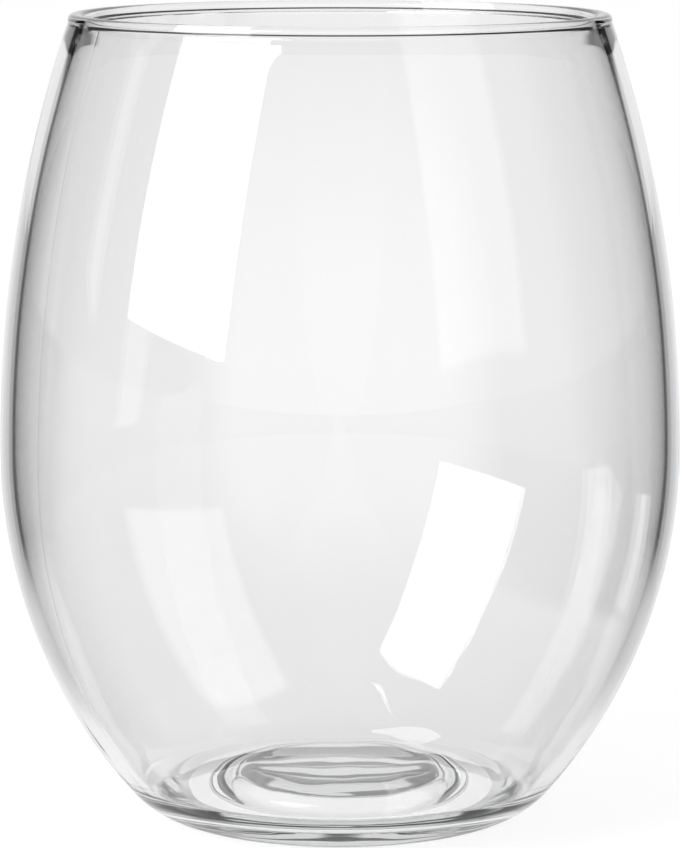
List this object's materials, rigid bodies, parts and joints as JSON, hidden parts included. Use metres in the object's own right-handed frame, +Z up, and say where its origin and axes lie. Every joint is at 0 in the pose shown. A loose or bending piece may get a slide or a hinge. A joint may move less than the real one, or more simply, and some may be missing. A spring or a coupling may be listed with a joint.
{
  "type": "stemless wine glass",
  "caption": "Clear egg-shaped drinking glass with no stem: a round lip, an even curved wall, a thick heel and a raised floor over a foot ring.",
  "frame": {"origin": "centre of the foot ring, on the table", "axes": "+Z up along the axis of the glass, towards the lip; -Y faces the viewer"},
  "size_m": [0.092, 0.092, 0.1092],
  "materials": {
    "clear_moulding": "water-clear and polished, with fine mould lines"
  },
  "bodies": {
    "root": {"lip": "clear_moulding", "neck_band": "clear_moulding", "bowl_wall": "clear_moulding", "base": "clear_moulding"}
  },
  "joints": []
}
